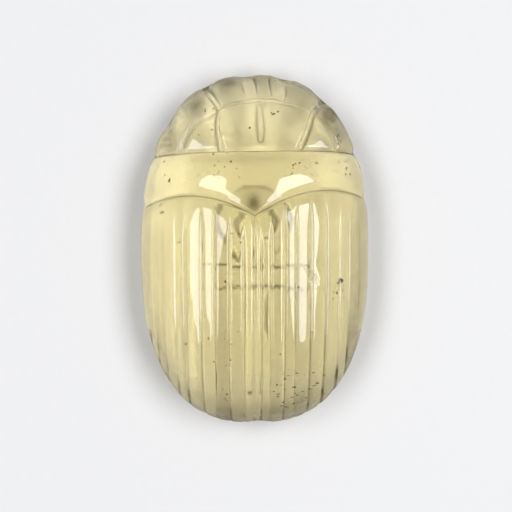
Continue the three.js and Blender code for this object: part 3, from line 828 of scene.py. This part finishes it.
def belly_part(form, carving, x, y):
    """Points, dirt and matness of the underside, from the front to the tail."""
    shrink = 1 - form.plinth_bevel / HALF_WIDTH
    from_front = spaced(BELLY_ROWS)[::-1]
    bx, by = (shrink * (line[:, :1] + (line[:, -1:] - line[:, :1]) * from_front) for line in (x, y))
    relief = Relief(bx, by)
    carve_belly(relief, carving)
    return np.stack([bx, by, relief.depth], axis=-1), relief.dirt_and_shade, relief.matness


def stone_mesh(form, carving):
    """Vertices, quads, dirt with painted shade, and matness of the carved stone, as a row of rings
    across it.
    """
    beetle = Beetle(form)
    x, y, x_station = plan(beetle, carving)
    parts = (
        back_part(beetle, carving, x, y, x_station),
        wall(beetle, x[:, -1], y[:, -1]),
        belly_part(form, carving, x, y),
        tuple(values[:, ::-1] for values in wall(beetle, x[:, 0], y[:, 0])),
    )
    rings, dirt_and_shade, matness = (np.concatenate(values, axis=1) for values in zip(*parts))
    points = rings.reshape(-1, 3)
    points[:, 2] *= TOP / points[:, 2].max()
    count, size = rings.shape[:2]
    first = (np.arange(count - 1)[:, None] * size + np.arange(size)).ravel()
    turn = (np.arange(count - 1)[:, None] * size + (np.arange(size) + 1) % size).ravel()
    quads = np.stack([first, first + size, turn + size, turn], axis=1)
    return points, quads, {"dirt_and_shade": dirt_and_shade.ravel(), "matness": matness.ravel()}


def weld(points, quads, values):
    """The same surface with equal points as one vertex, and without the faces that collapse."""
    keys = np.round(points / WELD).astype(np.int64)
    _, first, same = np.unique(keys, axis=0, return_index=True, return_inverse=True)
    same = same.reshape(-1)
    faces = []
    for quad in same[quads]:
        corners = [corner for i, corner in enumerate(quad) if corner != quad[i - 1]]
        if len(set(corners)) > 2:
            faces.append([int(corner) for corner in corners])
    return points[first].tolist(), faces, {key: value[first] for key, value in values.items()}


def show(name, vertices, faces, material, values=()):
    """A new object in the scene. Values on its vertices, if any, make it smooth too."""
    mesh = bpy.data.meshes.new(name)
    mesh.from_pydata(vertices, [], faces)
    mesh.materials.append(material)
    for key in values:
        attribute = mesh.attributes.new(key, "FLOAT", "POINT")
        attribute.data.foreach_set("value", values[key].astype(np.float32))
    mesh.polygons.foreach_set("use_smooth", np.full(len(mesh.polygons), bool(values)))
    mesh.update()
    piece = bpy.data.objects.new(name, mesh)
    bpy.context.scene.collection.objects.link(piece)
    return piece


def new_material(name):
    """A node material, its node tree and its main shader."""
    material = bpy.data.materials.new(name)
    material.use_nodes = True
    tree = material.node_tree
    return material, tree, tree.nodes["Principled BSDF"]


def noise(tree, scale, detail):
    """Cloudy values over the object, with the scale in clouds per metre."""
    coordinates = tree.nodes.new("ShaderNodeTexCoord")
    texture = tree.nodes.new("ShaderNodeTexNoise")
    texture.inputs["Scale"].default_value = scale
    texture.inputs["Detail"].default_value = detail
    tree.links.new(coordinates.outputs["Object"], texture.inputs["Vector"])
    return texture.outputs["Fac"]


def attribute(tree, name):
    """A value stored on the mesh."""
    node = tree.nodes.new("ShaderNodeAttribute")
    node.attribute_name = name
    return node.outputs["Fac"]


def spread(tree, source, low, high):
    """A value from 0 to 1 mapped to a range."""
    node = tree.nodes.new("ShaderNodeMapRange")
    node.inputs["To Min"].default_value = low
    node.inputs["To Max"].default_value = high
    tree.links.new(source, node.inputs["Value"])
    return node.outputs["Result"]


def uneven(tree, value, scale):
    """A value that varies by up to 40 % either way from patch to patch."""
    node = tree.nodes.new("ShaderNodeMath")
    node.operation = "MULTIPLY"
    tree.links.new(value, node.inputs[0])
    tree.links.new(spread(tree, noise(tree, scale, detail=4), 0.6, 1.4), node.inputs[1])
    return node.outputs["Value"]


def paint(tree, shader, amount, first, second):
    """Gives the shader the first colour where the amount is 0, and the second where it is 1."""
    node = tree.nodes.new("ShaderNodeMix")
    node.data_type = "RGBA"
    node.inputs["A"].default_value = first
    node.inputs["B"].default_value = second
    tree.links.new(amount, node.inputs["Factor"])
    tree.links.new(node.outputs["Result"], shader.inputs["Base Color"])


def stone_material(stone):
    """Clear polished stone with a straw-yellow body, dirt and matness in the carving, and painted shade
    on its back.
    """
    material, tree, shader = new_material("straw_stone")
    # The tint carries the dirt and the painted shade alike.
    paint(tree, shader, uneven(tree, attribute(tree, "dirt_and_shade"), scale=700), stone.clear, stone.dirt_and_shade)
    ground = spread(tree, attribute(tree, "matness"), stone.polish, stone.matness)
    tree.links.new(uneven(tree, ground, scale=180), shader.inputs["Roughness"])
    shader.inputs["Transmission Weight"].default_value = 1.0
    shader.inputs["IOR"].default_value = stone.ior
    bump = tree.nodes.new("ShaderNodeBump")
    bump.inputs["Strength"].default_value = 0.02
    bump.inputs["Distance"].default_value = stone.scratch_depth
    tree.links.new(noise(tree, scale=900, detail=6), bump.inputs["Height"])
    tree.links.new(bump.outputs["Normal"], shader.inputs["Normal"])
    volume = tree.nodes.new("ShaderNodeVolumeAbsorption")
    volume.inputs["Color"].default_value = stone.absorbed
    volume.inputs["Density"].default_value = stone.density
    tree.links.new(volume.outputs["Volume"], tree.nodes["Material Output"].inputs["Volume"])
    return material


def flaw_material(stone):
    """Dull dark specks."""
    material, tree, shader = new_material("speck")
    light = tuple(2.5 * value for value in stone.flaw[:3]) + (1.0,)
    paint(tree, shader, noise(tree, scale=1400, detail=3), stone.flaw, light)
    shader.inputs["Roughness"].default_value = 0.9
    return material


def floor_material(stage):
    """Pale paper with a very faint tooth."""
    material, tree, shader = new_material("paper")
    dark = tuple(0.97 * value for value in stage.floor_colour[:3]) + (1.0,)
    paint(tree, shader, noise(tree, scale=900, detail=5), dark, stage.floor_colour)
    shader.inputs["Roughness"].default_value = 0.95
    shader.inputs["Specular IOR Level"].default_value = 0.1
    return material


class SCARAB_OT_stone(Operator):
    """Builds the carved stone and lets it stand for the solid"""

    bl_idname = "scarab.stone"
    bl_label = "Carved Stone"

    def execute(self, context):
        scene = context.scene
        vertices, faces, values = weld(*stone_mesh(scene.scarab_form, scene.scarab_carving))
        material = stone_material(scene.scarab_stone)
        piece = show("carved_scarab", vertices, faces, material, values)
        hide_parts(NODE)
        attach(piece, BODY)
        return {"FINISHED"}


class SCARAB_OT_flaws(Operator):
    """Builds the dark specks sealed just under the surface"""

    bl_idname = "scarab.flaws"
    bl_label = "Sealed Specks"

    rings = 4
    sides = 7

    def execute(self, context):
        scene = context.scene
        beetle = Beetle(scene.scarab_form)
        rng = np.random.default_rng(scene.scarab_carving.seed)
        vertices, faces = [], []
        for middle, spread_pixels, count, size, length in FLAWS:
            for _ in range(count):
                px = middle[0] + spread_pixels[0] * rng.uniform(-1, 1)
                py = middle[1] + spread_pixels[1] * rng.uniform(-1, 1)
                x, y = pixel_point(px, py)
                if beetle.reach(x, y) < SPECKS_END:
                    grain = size * MM * rng.uniform(0.9, 1.8)
                    self.add_speck(beetle, rng, (x, y), grain, length, vertices, faces)
        piece = show("sealed_specks", vertices, faces, flaw_material(scene.scarab_stone))
        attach(piece, BODY)
        return {"FINISHED"}

    def add_speck(self, beetle, rng, place, size, length, vertices, faces):
        """One uneven grain, a little under the back."""
        normal = Vector(beetle.normal(*place))
        surface = Vector((*place, float(beetle.back(*place))))
        middle = surface - normal * (size / 2 + rng.uniform(0.2, 0.4) * MM)
        start = len(vertices)
        stretch = [rng.uniform(0.6, 1.3) for _ in range(3)]
        stretch[0] *= length
        for ring in range(1, self.rings):
            polar = math.pi * ring / self.rings
            for side in range(self.sides):
                turn = 2 * math.pi * side / self.sides
                flat = math.sin(polar)
                ball = (flat * math.cos(turn), flat * math.sin(turn), math.cos(polar))
                away = Vector([part * scale for part, scale in zip(ball, stretch)])
                vertices.append(middle + away * (size / 2) * rng.uniform(0.85, 1.1))
        top = len(vertices)
        tip = Vector((0, 0, size / 2 * stretch[2]))
        vertices += [middle + tip, middle - tip]
        for side in range(self.sides):
            after = (side + 1) % self.sides
            faces.append((top, start + side, start + after))
            last = start + (self.rings - 2) * self.sides
            faces.append((top + 1, last + after, last + side))
            for ring in range(self.rings - 2):
                low = start + ring * self.sides
                high = low + self.sides
                faces.append((low + side, high + side, high + after, low + after))


class SCARAB_OT_stage(Operator):
    """Builds the floor, the lamps and the camera"""

    bl_idname = "scarab.stage"
    bl_label = "Stage"

    def execute(self, context):
        scene = context.scene
        stage = scene.scarab_stage
        self.add_floor(stage)
        self.add_lamp(stage, "left_lamp", -1, stage.left_tilt, stage.left_watts)
        self.add_lamp(stage, "right_lamp", 1, stage.right_tilt, stage.right_watts)
        self.set_sky(scene, stage)
        self.add_camera(scene, stage)
        scene.view_settings.view_transform = "Standard"
        scene.cycles.use_denoising = True
        scene.cycles.max_bounces = 24
        scene.cycles.transmission_bounces = 20
        scene.cycles.diffuse_bounces = 6
        scene.cycles.glossy_bounces = 8
        scene.cycles.blur_glossy = 0.3
        return {"FINISHED"}

    @staticmethod
    def add_floor(stage):
        """A square sheet just under the base."""
        half = stage.floor_half
        corners = [(-half, -half), (half, -half), (half, half), (-half, half)]
        vertices = [(x, y, -stage.floor_drop) for x, y in corners]
        floor = show("floor", vertices, [(0, 1, 2, 3)], floor_material(stage))

    @staticmethod
    def add_lamp(stage, name, side, outer_tilt, watts):
        """A soft lamp at the side, between two angles from straight above."""
        middle = (stage.inner_tilt + outer_tilt) / 2
        data = bpy.data.lights.new(name, "AREA")
        data.shape = "ELLIPSE"
        data.size = 2 * stage.lamp_distance * math.tan((outer_tilt - stage.inner_tilt) / 2)
        data.size_y = stage.lamp_length
        data.energy = watts
        data.color = stage.light_colour[:3]
        lamp = bpy.data.objects.new(name, data)
        turn = Euler((-stage.lamp_lean, side * middle, 0))
        lamp.location = turn.to_matrix() @ Vector((0, 0, stage.lamp_distance))
        lamp.rotation_euler = turn
        bpy.context.scene.collection.objects.link(lamp)

    @staticmethod
    def set_sky(scene, stage):
        """Even light from all round."""
        world = bpy.data.worlds.new("studio")
        world.use_nodes = True
        background = world.node_tree.nodes["Background"]
        background.inputs["Color"].default_value = stage.light_colour
        background.inputs["Strength"].default_value = stage.sky_strength
        scene.world = world

    @staticmethod
    def add_camera(scene, stage):
        """Straight above, where the frame is as wide as the photograph's at the edge's height."""
        data = bpy.data.cameras.new("camera")
        data.lens = stage.lens
        data.sensor_width = 36
        data.clip_start = 0.001
        camera = bpy.data.objects.new("camera", data)
        half_view = FRAME_PIXELS * PIXEL / 2
        away = half_view / (data.sensor_width / 2 / data.lens)
        middle = FRAME_PIXELS / 2
        x, y = pixel_point(middle, middle)
        camera.location = (x, y, scene.scarab_form.edge_height + away)
        scene.collection.objects.link(camera)
        scene.camera = camera


class SCARAB_PT_sidebar(Panel):
    """Lists the steps and their settings"""

    bl_idname = "SCARAB_PT_sidebar"
    bl_label = "Scarab Amulet"
    bl_space_type = "VIEW_3D"
    bl_region_type = "UI"
    bl_category = "Scarab"

    def draw(self, context):
        layout = self.layout
        for operator in OPERATORS:
            layout.operator(operator.bl_idname)
        for settings in SETTINGS:
            box = layout.box()
            group = getattr(context.scene, settings)
            for name in group.__annotations__:
                box.prop(group, name)


OPERATORS = (SCARAB_OT_stone, SCARAB_OT_flaws, SCARAB_OT_stage)
SETTINGS = {
    "scarab_form": ScarabForm,
    "scarab_carving": ScarabCarving,
    "scarab_stone": ScarabStone,
    "scarab_stage": ScarabStage,
}
CLASSES = (*SETTINGS.values(), *OPERATORS, SCARAB_PT_sidebar)


def register():
    for one in CLASSES:
        bpy.utils.register_class(one)
    for name, group in SETTINGS.items():
        setattr(bpy.types.Scene, name, PointerProperty(type=group))


def unregister():
    for name in SETTINGS:
        delattr(bpy.types.Scene, name)
    for one in reversed(CLASSES):
        bpy.utils.unregister_class(one)


def main():
    register()
    bpy.ops.scarab.stone()
    bpy.ops.scarab.flaws()
    bpy.ops.scarab.stage()


if __name__ == "__main__":
    main()
